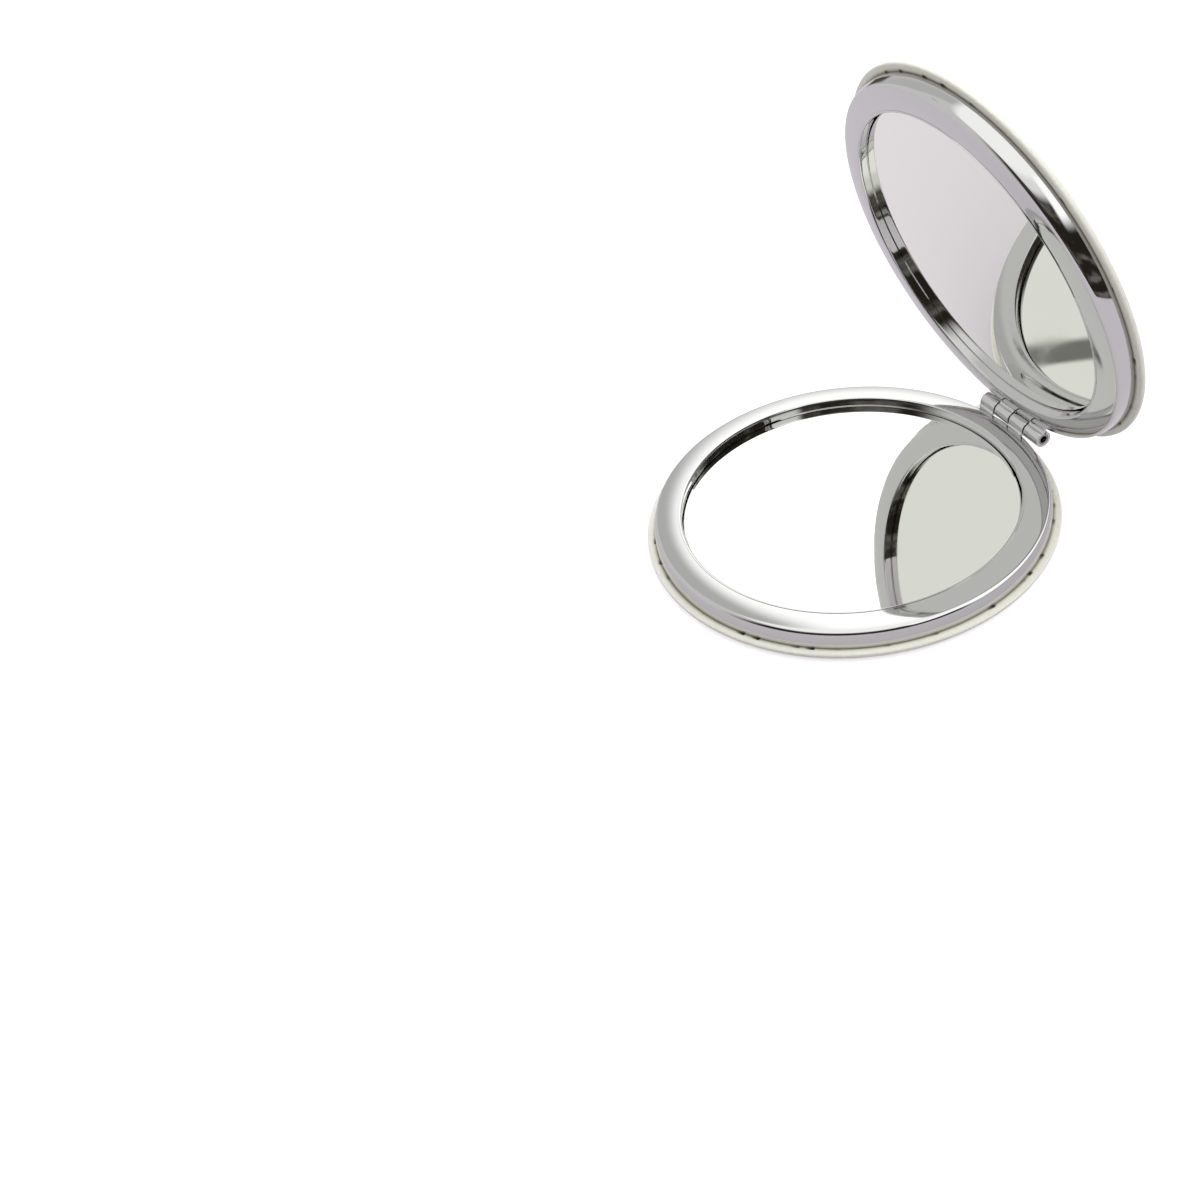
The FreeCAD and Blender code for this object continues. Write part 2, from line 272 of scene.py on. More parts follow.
# Panels laid over it, each with soft edges in degrees: left and right are turns from straight behind the
# part, foot and head are heights, which sink by the slope for each degree of turn; level comes last
ROUND_LEFT, ROUND_RIGHT = (-200, -190), (200, 190)
NO_FOOT, NO_HEAD = (-100, -95), (100, 95)
PANELS = (
    # Pale ceiling, which shows on the camera's side only
    (ROUND_LEFT, ROUND_RIGHT, (44, 54), NO_HEAD, 0, 1.1),
    # Dim left half of the room
    ((-130, -100), (128, 112), NO_FOOT, NO_HEAD, 0, 0.82),
    # Grey door in the dim half
    ((-38, -32), (-4, -16), NO_FOOT, NO_HEAD, 0, 0.65),
    # Dark beam that slopes across the dim half
    ((-58, -52), (-40, -44), (31.2, 31.5), (32.3, 32.1), 0.36, 0.2),
    # White wall behind the part, darker towards its foot
    ((-20, -1), (128, 112), (4, 36), NO_HEAD, 0, 1.75),
    # Dark skirting board along its foot
    ((-24, -14), (128, 112), NO_FOOT, (8, 3), 0, 0.12),
    # White screen at the right
    ((100, 112), (154, 147), (29, 41), NO_HEAD, 0, 1.6),
    # White ceiling
    (ROUND_LEFT, ROUND_RIGHT, (58, 66), NO_HEAD, 0, 1.4),
)

# Fill lamp: width and place in metres, power in watts
FILL_SIZE = 0.5
FILL_SPOT = Vector((0.42, -0.3, 0.5))
FILL_POWER = 0.5


def linear(text):
    """An sRGB hex colour as linear red, green, blue and alpha."""
    shares = [int(text[place:place + 2], 16) / 255 for place in (1, 3, 5)]
    bent = [share / 12.92 if share <= 0.04045 else ((share + 0.055) / 1.055) ** 2.4 for share in shares]
    return (*bent, 1.0)


def colour_property(name, description, text):
    """A colour that a user may change, with its default written as sRGB hex."""
    return bpy.props.FloatVectorProperty(name=name, description=description, subtype="COLOR", size=4,
                                         min=0.0, max=1.0, default=linear(text))


def length_property(name, description, length):
    """A length that a user may change."""
    return bpy.props.FloatProperty(name=name, description=description, default=length, min=0.0,
                                   unit="LENGTH", precision=5)


def angle_property(name, description, degrees):
    """An angle that a user may change."""
    return bpy.props.FloatProperty(name=name, description=description, default=math.radians(degrees),
                                   subtype="ANGLE")


class CompactCovers(bpy.types.PropertyGroup):
    """Sizes and colours of the leather covers."""
    leather_colour: colour_property("Leather", "Colour of the coated leather", "#E8E8DB")
    # Painted light: a paler colour over the rim and the hem
    rim_light_colour: colour_property("Rim", "Colour of the coating lightened over the rim", "#FBFBF0")
    # Painted shade deep in the pleats of the hem
    pleat_shade_colour: colour_property("Folds", "Colour deep in the pleats of the hem", "#2E2A1C")
    # Painted shade on the hem where it goes in under the skirt
    hem_shade_colour: colour_property("Shaded line", "Colour where the hem goes in under the skirt", "#868163")
    grain_size: length_property("Grain", "Distance between two creases of the embossed grain", GRAIN_SIZE)
    pleat_spacing: length_property("Pleat spacing", "Usual distance between two pleats", PLEAT_SPACING)
    pleat_depth: length_property("Pleat depth", "How far the deepest pleat sinks in", PLEAT_DEPTH)
    pleat_tail: length_property("Pleat tail", "How far a pleat runs out along the hem", PLEAT_TAIL)
    unevenness: length_property("Unevenness", "How far the padded face rises and sinks", UNEVENNESS)
    turns: bpy.props.IntProperty(
        name="Steps round", description="Faces round the edge of a cover", default=COVER_TURNS, min=64)


class CompactMetal(bpy.types.PropertyGroup):
    """Sizes and colours of the frames, glass and pin."""
    chrome_colour: colour_property("Chrome", "Colour that the plating reflects", "#CCCCCB")
    glass_colour: colour_property("Mirror", "Colour that the silvered glass reflects", "#F4F5F0")
    pin_colour: colour_property("Pin", "Colour of the plated hinge pin", "#BEBDB9")
    turns: bpy.props.IntProperty(
        name="Steps round", description="Faces round the edge of a frame", default=FRAME_TURNS, min=64)


class CompactStage(bpy.types.PropertyGroup):
    """Camera and floor."""
    floor_colour: colour_property("Floor", "Colour of the pale floor", "#CDC9CF")
    distance: length_property("Distance", "From the middle of the base to the camera", CAMERA_DISTANCE)
    azimuth: angle_property("Azimuth", "Turn of the camera from the front to the right", CAMERA_AZIMUTH)
    elevation: angle_property("Elevation", "Height of the camera as an angle", CAMERA_ELEVATION)
    lens: bpy.props.FloatProperty(
        name="Lens", description="Focal length", default=CAMERA_LENS, unit="CAMERA")


def node(tree, kind, inputs=None, **settings):
    """Add a node: settings are its own, inputs are values for its sockets or outputs linked to them."""
    made = tree.nodes.new(kind)
    for name, value in settings.items():
        setattr(made, name, value)
    for key, value in (inputs or {}).items():
        if isinstance(value, bpy.types.NodeSocket):
            tree.links.new(value, made.inputs[key])
        else:
            made.inputs[key].default_value = value
    return made


def new_material(name):
    """A material with an empty node tree; gives it, its tree, its output and the place on the object."""
    material = bpy.data.materials.new(name)
    material.use_nodes = True
    tree = material.node_tree
    tree.nodes.clear()
    output = node(tree, "ShaderNodeOutputMaterial")
    return material, tree, output, node(tree, "ShaderNodeTexCoord").outputs["Object"]


def leather_material(settings):
    """Imitation leather, a soft coating embossed with a fine creased grain: satin cream white, a little
    rougher and with a painted shade in the creases of the grain, with painted light that makes it paler over
    the rim and hem, a painted olive shade where the hem meets the metal, and a dark painted shade deep in
    its pleats."""
    material, tree, output, place = new_material("embossed_imitation_leather")
    often = 1 / settings.grain_size
    stray = node(tree, "ShaderNodeTexNoise", {
        "Vector": place, "Scale": GRAIN_CHANGE_SHARE * often, "Detail": 2.0})
    push = node(tree, "ShaderNodeVectorMath", {
        0: stray.outputs["Color"], "Scale": GRAIN_STRAY_SHARE * settings.grain_size}, operation="SCALE")
    moved = node(tree, "ShaderNodeVectorMath", {0: place, 1: push.outputs[0]}, operation="ADD")
    drawn = node(tree, "ShaderNodeVectorMath", {
        0: moved.outputs[0], 1: GRAIN_STRETCH_SHARES}, operation="MULTIPLY")
    pebble = node(tree, "ShaderNodeTexVoronoi", {
        "Vector": drawn.outputs[0], "Scale": often, "Smoothness": GRAIN_ROUND_SHARE}, feature="SMOOTH_F1")
    crown = node(tree, "ShaderNodeMapRange", {
        "Value": pebble.outputs["Distance"], "From Min": GRAIN_CROWN_SHARES[0],
        "From Max": GRAIN_CROWN_SHARES[1], "To Min": 1.0, "To Max": 0.0})
    # Painted shade in the creases of the grain
    shade = node(tree, "ShaderNodeMapRange", {
        "Value": crown.outputs[0], "To Min": CREASE_SHADE_SHARE, "To Max": 1.0})
    # Painted light: the leather is mixed towards a paler colour over the rim and the hem
    rim_light = node(tree, "ShaderNodeAttribute", attribute_name="rim_light")
    coating = node(tree, "ShaderNodeMix", {
        0: rim_light.outputs["Fac"], 6: settings.leather_colour, 7: settings.rim_light_colour}, data_type="RGBA")
    crease_shaded = node(tree, "ShaderNodeMix", {0: 1.0, 6: coating.outputs[2], 7: shade.outputs[0]},
                   data_type="RGBA", blend_type="MULTIPLY")
    # Painted shade along the hem, strongest where it goes in under the skirt
    hem_shade = node(tree, "ShaderNodeAttribute", attribute_name="hem_shade")
    hem_shaded = node(tree, "ShaderNodeMix", {
        0: hem_shade.outputs["Fac"], 6: crease_shaded.outputs[2], 7: settings.hem_shade_colour}, data_type="RGBA")
    # Painted shade deep in the pleats, by how deep a point lies in one
    fold = node(tree, "ShaderNodeAttribute", attribute_name="fold")
    deep = node(tree, "ShaderNodeMapRange", {
        "Value": fold.outputs["Fac"], "From Max": FULL_PLEAT_SHADE_SHARE})
    pleat_shaded = node(tree, "ShaderNodeMix", {
        0: deep.outputs[0], 6: hem_shaded.outputs[2], 7: settings.pleat_shade_colour}, data_type="RGBA")
    sheen = node(tree, "ShaderNodeMapRange", {
        "Value": crown.outputs[0], "To Min": LEATHER_ROUGHNESS_SHARES[0],
        "To Max": LEATHER_ROUGHNESS_SHARES[1]})
    bump = node(tree, "ShaderNodeBump", {
        "Height": crown.outputs[0], "Strength": GRAIN_RELIEF_SHARE,
        "Distance": GRAIN_HEIGHT_SHARE * settings.grain_size})
    shader = node(tree, "ShaderNodeBsdfPrincipled", {
        "Base Color": pleat_shaded.outputs[2], "Roughness": sheen.outputs[0], "Normal": bump.outputs[0],
        "IOR": LEATHER_REFRACTION})
    tree.links.new(shader.outputs[0], output.inputs[0])
    return material


def chrome_material(settings):
    """Chromium-plated steel sheet, pressed and polished: a cool clear reflection that wavers slightly
    where the sheet was drawn, with a faint haze of handling."""
    material, tree, output, place = new_material("chromium_plated_steel")
    waver = node(tree, "ShaderNodeTexNoise", {"Vector": place, "Scale": 1 / DRAW_WAVE, "Detail": 1.0})
    bump = node(tree, "ShaderNodeBump", {
        "Height": waver.outputs[0], "Strength": 1.0, "Distance": DRAW_HEIGHT})
    haze = node(tree, "ShaderNodeTexNoise", {"Vector": place, "Scale": 1 / HAZE_SIZE, "Detail": 5.0})
    gloss = node(tree, "ShaderNodeMapRange", {
        "Value": haze.outputs[0], "From Min": HAZE_SHARES[0], "From Max": HAZE_SHARES[1],
        "To Min": CHROME_ROUGHNESS_SHARES[0], "To Max": CHROME_ROUGHNESS_SHARES[1]})
    shader = node(tree, "ShaderNodeBsdfPrincipled", {
        "Base Color": settings.chrome_colour, "Metallic": 1.0, "Roughness": gloss.outputs[0],
        "Normal": bump.outputs[0]})
    tree.links.new(shader.outputs[0], output.inputs[0])
    return material


def silvered_glass_material(settings):
    """Silvered float glass: a nearly full reflection with the faint green of glass and a trace of smear."""
    material, tree, output, place = new_material("silvered_float_glass")
    smear = node(tree, "ShaderNodeTexNoise", {"Vector": place, "Scale": 1 / SMEAR_SIZE, "Detail": 4.0})
    gloss = node(tree, "ShaderNodeMapRange", {
        "Value": smear.outputs[0], "From Min": SMEAR_SHARES[0], "From Max": SMEAR_SHARES[1],
        "To Min": GLASS_ROUGHNESS_SHARES[0], "To Max": GLASS_ROUGHNESS_SHARES[1]})
    shader = node(tree, "ShaderNodeBsdfPrincipled", {
        "Base Color": settings.glass_colour, "Metallic": 1.0, "Roughness": gloss.outputs[0]})
    tree.links.new(shader.outputs[0], output.inputs[0])
    return material


def pin_material(settings):
    """Nickel-plated steel tube, cut to length: a soft pale shine with fine marks from drawing."""
    material, tree, output, place = new_material("nickel_plated_steel_tube")
    marks = node(tree, "ShaderNodeTexNoise", {"Vector": place, "Scale": 1 / PIN_GRAIN, "Detail": 3.0})
    gloss = node(tree, "ShaderNodeMapRange", {
        "Value": marks.outputs[0], "To Min": PIN_ROUGHNESS_SHARES[0],
        "To Max": PIN_ROUGHNESS_SHARES[1]})
    shader = node(tree, "ShaderNodeBsdfPrincipled", {
        "Base Color": settings.pin_colour, "Metallic": 1.0, "Roughness": gloss.outputs[0]})
    tree.links.new(shader.outputs[0], output.inputs[0])
    return material


def mottled_material(name, dark, light, grain, roughness):
    """A dull sheet material of two close colours in specks of one size."""
    material, tree, output, place = new_material(name)
    speck = node(tree, "ShaderNodeTexNoise", {"Vector": place, "Scale": 1 / grain, "Detail": 4.0})
    tone = node(tree, "ShaderNodeMix", {
        0: speck.outputs[0], 6: linear(dark), 7: linear(light)}, data_type="RGBA")
    bump = node(tree, "ShaderNodeBump", {
        "Height": speck.outputs[0], "Strength": SPECK_RELIEF_SHARE, "Distance": grain})
    shader = node(tree, "ShaderNodeBsdfPrincipled", {
        "Base Color": tone.outputs[2], "Roughness": roughness, "Normal": bump.outputs[0]})
    tree.links.new(shader.outputs[0], output.inputs[0])
    return material


def arc(centre, radius, start, end, steps):
    """Points along an arc from one angle to another, in degrees."""
    angles = np.radians(np.linspace(start, end, steps + 1))
    return [Vector((centre.x + radius * math.cos(angle), centre.y + radius * math.sin(angle)))
            for angle in angles]


def run(start, end, steps):
    """Points along a straight run, with its two ends."""
    return [start.lerp(end, share) for share in np.linspace(0, 1, steps + 1)]


def joined(*stretches):
    """One line of points from several stretches, with no point twice."""
    line = []
    for place in (place for rim_light in stretches for place in rim_light):
        if not line or (place - line[-1]).length > CLOSEST:
            line.append(place)
    return line


def turned_mesh(name, section, turns):
    """A full turn of a section whose first and last points lie on the axis."""
    angles = np.linspace(0, 2 * math.pi, turns, endpoint=False)
    rings = section[1:-1]
    places = [(place.x * math.cos(angle), place.x * math.sin(angle), place.y)
              for place in rings for angle in angles]
    first, last = len(places), len(places) + 1
    places += [(0, 0, section[0].y), (0, 0, section[-1].y)]
    faces = []
    for row in range(len(rings) - 1):
        low, high = row * turns, (row + 1) * turns
        for step in range(turns):
            after = (step + 1) % turns
            faces.append((low + step, low + after, high + after, high + step))
    top = (len(rings) - 1) * turns
    for step in range(turns):
        after = (step + 1) % turns
        faces.append((first, after, step))
        faces.append((last, top + step, top + after))
    mesh = bpy.data.meshes.new(name)
    mesh.from_pydata(places, [], faces)
    tidy_mesh(mesh)
    return mesh


def tidy_mesh(mesh):
    """Point all faces outwards and shade them smooth between real edges."""
    work = bmesh.new()
    work.from_mesh(mesh)
    bmesh.ops.recalc_face_normals(work, faces=work.faces)
    work.to_mesh(mesh)
    work.free()
    mesh.shade_smooth()
    mesh.set_sharp_from_angle(angle=math.radians(EDGE_ANGLE))


def lid_place():
    """Where a half drawn lying down goes on the lid: turned over at the seam and swung open."""
    turned = Matrix.Translation((0, 0, 2 * AXIS.z)) @ Matrix.Rotation(math.pi, 4, "Y")
    swing = Matrix.Translation(AXIS) @ Matrix.Rotation(-OPEN_ANGLE, 4, "X") @ Matrix.Translation(-AXIS)
    return swing @ turned


def new_piece(name, mesh, material):
    """An object at the origin for a mesh, with its material."""
    piece = bpy.data.objects.new(name, mesh)
    bpy.context.scene.collection.objects.link(piece)
    mesh.materials.clear()
    mesh.materials.append(material)
    return piece


def settle(piece, side, nodes):
    """Carry a lid piece to its place, let it ride its body and stand for its solids."""
    if side == "lid":
        piece.data.transform(lid_place())
    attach(piece, side)
    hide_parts(*nodes)


def new_tree(name, sockets):
    """An empty geometry tree with named inputs; gives the tree, its inputs' outlets and its output node."""
    tree = bpy.data.node_groups.new(name, "GeometryNodeTree")
    tree.interface.new_socket("Geometry", in_out="INPUT", socket_type="NodeSocketGeometry")
    for label, kind in sockets:
        tree.interface.new_socket(label, in_out="INPUT", socket_type="NodeSocket" + kind)
    tree.interface.new_socket("Geometry", in_out="OUTPUT", socket_type="NodeSocketGeometry")
    return tree, node(tree, "NodeGroupInput").outputs, node(tree, "NodeGroupOutput")


def finish_tree(tree, geometry, material, output):
    """Close a tree with Realize Instances and Set Material."""
    real = node(tree, "GeometryNodeRealizeInstances", {"Geometry": geometry})
    dressed = node(tree, "GeometryNodeSetMaterial", {"Geometry": real.outputs[0], "Material": material})
    tree.links.new(dressed.outputs[0], output.inputs[0])


def run_tree(piece, tree, values):
    """Run a tree on a piece with these inputs, and keep the result as its plain mesh."""
    modifier = piece.modifiers.new(tree.name, "NODES")
    modifier.node_group = tree
    for socket in tree.interface.items_tree:
        if socket.in_out == "INPUT" and socket.name in values:
            modifier[socket.identifier] = values[socket.name]
    graph = bpy.context.evaluated_depsgraph_get()
    mesh = bpy.data.meshes.new_from_object(piece.evaluated_get(graph))
    piece.modifiers.clear()
    piece.data = mesh


def cover_section():
    """The leather's section from the middle of its face, round the rim and hem, and back inside."""
    crown_run = RIM_CENTRE - COVER_FLAT
    crown_rise = RIM_HEIGHT - RIM_ARC
    crown = (crown_run ** 2 + RIM_HEIGHT ** 2 - RIM_ARC ** 2) / (2 * crown_rise)
    lean = math.degrees(math.asin(crown_run / (crown - RIM_ARC))) - 90
    crown_centre = Vector((COVER_FLAT, crown))
    rim_centre = Vector((RIM_CENTRE, RIM_HEIGHT))
    tuck_centre = Vector((COVER_RADIUS - TUCK_ARC, RIM_HEIGHT))
    hem_edge = COVER_RADIUS - TURN_IN
    lining = COVER_RADIUS - LEATHER
    return joined(
        run(Vector((0, 0)), Vector((COVER_FLAT, 0)), FACE_STEPS),
        arc(crown_centre, crown, -90, lean, CROWN_STEPS),
        arc(rim_centre, RIM_ARC, lean, 0, RIM_STEPS),
        arc(tuck_centre, TUCK_ARC, 0, 90, TUCK_STEPS),
        run(Vector((COVER_RADIUS - TUCK_ARC, HEM_TOP)), Vector((SKIRT_INSIDE, HEM_TOP)), HEM_STEPS),
        [Vector((hem_edge, HEM_TOP))],
        run(Vector((hem_edge, BOARD_TOP)), Vector((lining, BOARD_TOP)), SEAT_STEPS),
        arc(rim_centre, RIM_ARC - LEATHER, 0, lean, LINING_STEPS),
        arc(crown_centre, crown - LEATHER, lean, -90, LINING_STEPS),
        [Vector((0, LEATHER))],
    )


def mesh_places(mesh):
    """All points of a mesh as rows of numbers."""
    places = np.zeros(len(mesh.vertices) * 3)
    mesh.vertices.foreach_get("co", places)
    return places.reshape(-1, 3)


def store_weights(mesh):
    """Mark on each point how strongly the hem's pleats and the padding's unevenness move it, and how much
    painted light makes the leather paler there, over the rim and the hem.

    A pleat is deepest where the hem goes in under the skirt, and a painted shade darkens the hem towards
    there.
    """
    places = mesh_places(mesh)
    radii = np.hypot(places[:, 0], places[:, 1])
    heights = places[:, 2]
    hem = heights > HEM_TOP - CLOSEST
    below = (heights < RIM_HEIGHT) & (radii < RIM_CENTRE)
    pleat_end = SKIRT_FOOT + PLEAT_REACH + PLEAT_FADE
    hem_shade_end = SKIRT_FOOT + HEM_SHADE_WIDTH
    weights = {
        "tuck": np.where(hem, np.clip((pleat_end - radii) / PLEAT_FADE, 0, 1), 0),
        # Painted shade on the hem, strongest next to the skirt
        "hem_shade": np.where(hem, np.clip((hem_shade_end - radii) / HEM_SHADE_WIDTH, 0, 1) ** 2, 0),
        # Painted light over the rim and the hem
        "rim_light": np.where(hem, 1, np.clip((radii - RIM_CENTRE) / RIM_ARC, 0, 1)),
        "pad": np.where(below, 1 - radii / RIM_CENTRE * SWELL_EDGE_SHARE, 0),
    }
    for label, values in weights.items():
        layer = mesh.attributes.new(label, "FLOAT", "POINT")
        layer.data.foreach_set("value", values.astype(np.float32))


def pleat_fold(tree, given, around, often):
    """How far into a pleat a direction round the rim lies, from 0 to 1: a steep head and a long tail.

    Each scattered cell that the rim crosses may carry one pleat, at the bearing of the cell's own point.
    """
    rim = node(tree, "ShaderNodeVectorMath", {
        0: around, "Scale": given["Rim Radius"]}, operation="SCALE").outputs[0]
    moved = node(tree, "ShaderNodeVectorMath", {0: rim, 1: given["Seed"]}, operation="ADD").outputs[0]
    cells = node(tree, "ShaderNodeTexVoronoi", {
        "Vector": moved, "Scale": often}, voronoi_dimensions="2D").outputs
    point = node(tree, "ShaderNodeVectorMath", {
        0: cells["Position"], 1: given["Seed"]}, operation="SUBTRACT").outputs[0]
    level = node(tree, "ShaderNodeVectorMath", {0: point, 1: (1, 1, 0)}, operation="MULTIPLY").outputs[0]
    bearing = node(tree, "ShaderNodeVectorMath", {0: level}, operation="NORMALIZE").outputs[0]
    turned = node(tree, "ShaderNodeVectorMath", {
        0: around, 1: bearing}, operation="CROSS_PRODUCT").outputs[0]
    aside = node(tree, "ShaderNodeSeparateXYZ", {0: turned}).outputs["Z"]
    along = node(tree, "ShaderNodeMath", {0: aside, 1: given["Rim Radius"]}, operation="MULTIPLY").outputs[0]
    tail = node(tree, "ShaderNodeMath", {0: along, 1: given["Tail"]}, operation="DIVIDE").outputs[0]
    head = node(tree, "ShaderNodeMath", {0: tail, 1: -1 / PLEAT_HEAD_SHARE}, operation="MULTIPLY").outputs[0]
    away = node(tree, "ShaderNodeMath", {0: tail, 1: head}, operation="MAXIMUM").outputs[0]
    fold = node(tree, "ShaderNodeMath", {0: 1.0, 1: away}, operation="SUBTRACT", use_clamp=True).outputs[0]
    chance = node(tree, "ShaderNodeSeparateXYZ", {0: cells["Color"]}).outputs["X"]
    strength = node(tree, "ShaderNodeMapRange", {
        "Value": chance, "From Min": PLEAT_CHANCE_SHARES[0],
        "From Max": PLEAT_CHANCE_SHARES[1]}).outputs[0]
    return node(tree, "ShaderNodeMath", {0: fold, 1: strength}, operation="MULTIPLY").outputs[0]


def hem_tree():
    """Pleats sunk in along the hem, and a slow swell of the padding.

    How deep each point lies in a pleat is kept as the attribute fold, which also sets the painted shade in
    the pleats.
    """
    tree, given, output = new_tree("hem_pleats", (
        ("Spacing", "Float"), ("Depth", "Float"), ("Tail", "Float"), ("Rim Radius", "Float"),
        ("Unevenness", "Float"), ("Seed", "Float"), ("Material", "Material")))
    place = node(tree, "GeometryNodeInputPosition").outputs[0]
    normal = node(tree, "GeometryNodeInputNormal").outputs[0]
    tuck = node(tree, "GeometryNodeInputNamedAttribute", {"Name": "tuck"}, data_type="FLOAT").outputs[0]
    pad = node(tree, "GeometryNodeInputNamedAttribute", {"Name": "pad"}, data_type="FLOAT").outputs[0]
    often = node(tree, "ShaderNodeMath", {0: 1.0, 1: given["Spacing"]}, operation="DIVIDE").outputs[0]
    level = node(tree, "ShaderNodeVectorMath", {0: place, 1: (1, 1, 0)}, operation="MULTIPLY").outputs[0]
    around = node(tree, "ShaderNodeVectorMath", {0: level}, operation="NORMALIZE").outputs[0]
    fold = node(tree, "ShaderNodeMath", {
        0: pleat_fold(tree, given, around, often), 1: tuck}, operation="MULTIPLY").outputs[0]
    kept = node(tree, "GeometryNodeStoreNamedAttribute", {
        "Geometry": given["Geometry"], "Name": "fold", "Value": fold},
        data_type="FLOAT", domain="POINT").outputs[0]
    sink = node(tree, "ShaderNodeMath", {0: fold, 1: given["Depth"]}, operation="MULTIPLY").outputs[0]
    slow = node(tree, "ShaderNodeMath", {0: often, 1: SWELL_SHARE}, operation="MULTIPLY").outputs[0]
    shifted = node(tree, "ShaderNodeVectorMath", {0: place, 1: given["Seed"]}, operation="ADD").outputs[0]
    swell = node(tree, "ShaderNodeTexNoise", {"Vector": shifted, "Scale": slow, "Detail": 1.0}).outputs[0]
    for factor in (pad, given["Unevenness"]):
        swell = node(tree, "ShaderNodeMath", {0: swell, 1: factor}, operation="MULTIPLY").outputs[0]
    inward = node(tree, "ShaderNodeMath", {0: sink, 1: swell}, operation="ADD").outputs[0]
    outward = node(tree, "ShaderNodeMath", {0: inward, 1: -1.0}, operation="MULTIPLY").outputs[0]
    shift = node(tree, "ShaderNodeVectorMath", {0: normal, "Scale": outward}, operation="SCALE").outputs[0]
    placed = node(tree, "GeometryNodeSetPosition", {"Geometry": kept, "Offset": shift}).outputs[0]
    finish_tree(tree, placed, given["Material"], output)
    return tree


class COMPACT_OT_covers(bpy.types.Operator):
    """Make the two padded leather covers with their pleated hems"""
    bl_idname = "compact.covers"
    bl_label = "Leather covers"

    def execute(self, context):
        settings = context.scene.compact_covers
        material = leather_material(settings)
        tree = hem_tree()
        for side, seed in PLEAT_SEEDS.items():
            mesh = turned_mesh(side + "_cover_skin", cover_section(), settings.turns)
            store_weights(mesh)
            piece = new_piece(side + "_padded_cover", mesh, material)
            run_tree(piece, tree, {
                "Spacing": settings.pleat_spacing, "Depth": settings.pleat_depth,
                "Tail": settings.pleat_tail, "Rim Radius": COVER_RADIUS,
                "Unevenness": settings.unevenness, "Seed": seed, "Material": material})
            settle(piece, side, [side + "_leather_cover"])
        return {"FINISHED"}


def fillet_centre(one, one_reach, two, two_reach):
    """Centre of a fillet that touches two arcs from inside: the outer crossing of two circles."""
    gap = two - one
    along = (one_reach ** 2 - two_reach ** 2 + gap.length_squared) / (2 * gap.length)
    aside = math.sqrt(one_reach ** 2 - along ** 2)
    unit = gap.normalized()
    foot = one + unit * along
    side = Vector((unit.y, -unit.x)) * aside
    return max((foot + side, foot - side), key=lambda place: place.x)


def angle_from(centre, place):
    """The direction from a centre to a place, in degrees."""
    return math.degrees(math.atan2(place.y - centre.y, place.x - centre.x))


def frame_outside():
    """The frame's showing side: skirt, rounded edge, crowned flange, lip, well and floor."""
    foot, top = Vector((SKIRT_FOOT, HEM_TOP)), Vector((SKIRT_RADIUS, EDGE_HEIGHT))
    slant = top - foot
    skirt_arc = (slant.length_squared / 4 + SKIRT_BULGE ** 2) / (2 * SKIRT_BULGE)
    outward = Vector((slant.y, -slant.x)).normalized()
    skirt_centre = foot.lerp(top, 0.5) - outward * (skirt_arc - SKIRT_BULGE)
    edge_centre = fillet_centre(skirt_centre, skirt_arc - EDGE_FILLET,
                                FLANGE_CENTRE, FLANGE_ARC - EDGE_FILLET)
    lip_top = CREST + LIP_STEP
    lip_centre = Vector((WELL_RADIUS + LIP_FILLET, lip_top - LIP_FILLET))
    step_foot = lip_centre.x + LIP_LAND + LIP_LEAN
    corner_centre = Vector((WELL_RADIUS - FLOOR_FILLET, PAN_FLOOR + FLOOR_FILLET))
    up, over = angle_from(skirt_centre, edge_centre), angle_from(FLANGE_CENTRE, edge_centre)
    low = angle_from(skirt_centre, foot)
    return joined(
        arc(skirt_centre, skirt_arc, low, up, SKIRT_STEPS),
        arc(edge_centre, EDGE_FILLET, up, over, FILLET_STEPS),
        arc(FLANGE_CENTRE, FLANGE_ARC, over, 90, FLANGE_STEPS),
        run(Vector((CREST_RADIUS, CREST)), Vector((step_foot, CREST)), LAND_STEPS),
        run(Vector((step_foot - LIP_LEAN, lip_top)), Vector((lip_centre.x, lip_top)), LIP_STEPS),
        arc(lip_centre, LIP_FILLET, 90, 180, FILLET_STEPS),
        run(Vector((WELL_RADIUS, lip_centre.y)), Vector((WELL_RADIUS, corner_centre.y)), WALL_STEPS),
        arc(corner_centre, FLOOR_FILLET, 0, -90, CORNER_STEPS),
        [Vector((0, PAN_FLOOR))],
    )


def frame_inside():
    """The frame's hidden side: back of the pan, heel, well wall, ceiling and the skirt's inner face."""
    heel = FLOOR_FILLET + SHEET
    ceiling_arc = FLANGE_ARC - SHEET
    ceiling_end = 90 - math.degrees(math.asin((SKIRT_INSIDE - CREST_RADIUS) / ceiling_arc))
    return joined(
        [Vector((0, PAN_BOTTOM))],
        arc(Vector((WELL_OUTSIDE - heel, PAN_BOTTOM + heel)), heel, -90, 0, CORNER_STEPS),
        [Vector((WELL_OUTSIDE, CREST - SHEET))],
        arc(FLANGE_CENTRE, ceiling_arc, 90, ceiling_end, CEILING_STEPS),
        [Vector((SKIRT_FOOT - SHEET, HEM_TOP))],
    )


def knuckle_outline():
    """Section of one knuckle across the hinge: a strap that bends up from the flange, rolls over the pin
    and ends underneath it."""
    middle = Vector((AXIS.y, AXIS.z))
    root = math.sqrt((SKIRT_RADIUS - SHEET / 2) ** 2 - BARREL_HALF ** 2)
    inner = AXIS.y - BARREL_RADIUS
    bend = AXIS.z - EDGE_HEIGHT
    low = EDGE_HEIGHT - SHEET
    return joined(
        run(Vector((root, EDGE_HEIGHT)), Vector((inner - bend, EDGE_HEIGHT)), STRAP_STEPS),
        arc(Vector((inner - bend, AXIS.z)), bend, -90, 0, BEND_STEPS),
        arc(middle, BARREL_RADIUS, 180, ROLL_END - 360, ROLL_STEPS),
        arc(middle, BORE_RADIUS, ROLL_END - 360, THROAT, ROLL_STEPS),
        [Vector((inner, low)), Vector((root, low))],
    )


